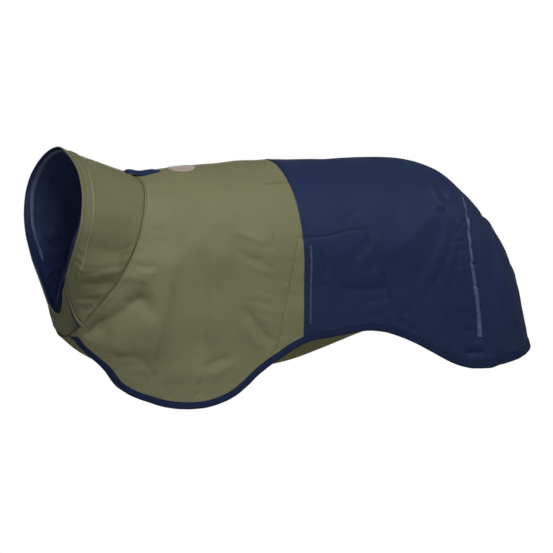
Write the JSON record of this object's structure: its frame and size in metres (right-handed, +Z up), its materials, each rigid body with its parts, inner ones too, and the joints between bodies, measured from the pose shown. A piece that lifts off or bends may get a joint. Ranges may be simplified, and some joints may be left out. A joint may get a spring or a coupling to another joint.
{
  "type": "dog rain jacket",
  "caption": "Hollow, filled-out dog rain jacket with a stand-up collar lapped in front, an olive yoke, a navy rear panel, bound hem, and a chest and belly piece.",
  "frame": {"origin": "inner face of the back on the middle plane, where the jacket rests on the wearer's back just in front of the seam across it", "axes": "+X from the collar to the tail end, +Y to the wearer's right, +Z up; the pictured side is -Y"},
  "size_m": [0.6572, 0.2051, 0.317],
  "materials": {
    "olive_cloth": "semi-matt coated cloth",
    "navy_cloth": "semi-matt coated cloth",
    "collar_lining": "matt lining",
    "binding": "matt tape",
    "patch": "matt plain patch",
    "reflective_tape": "dull reflective tape"
  },
  "bodies": {
    "root": {"yoke": "olive_cloth", "collar": "olive_cloth", "belly_panel": "olive_cloth", "rear_panel": "navy_cloth", "lead_flap": "navy_cloth", "collar_lining": "collar_lining", "hem_binding": "binding", "back_patch": "patch", "collar_tape_outer": "olive_cloth", "collar_tape_inner": "reflective_tape", "side_tape_left": "reflective_tape", "side_tape_right": "reflective_tape", "rear_tape_left": "reflective_tape", "rear_tape_right": "reflective_tape"}
  },
  "joints": []
}
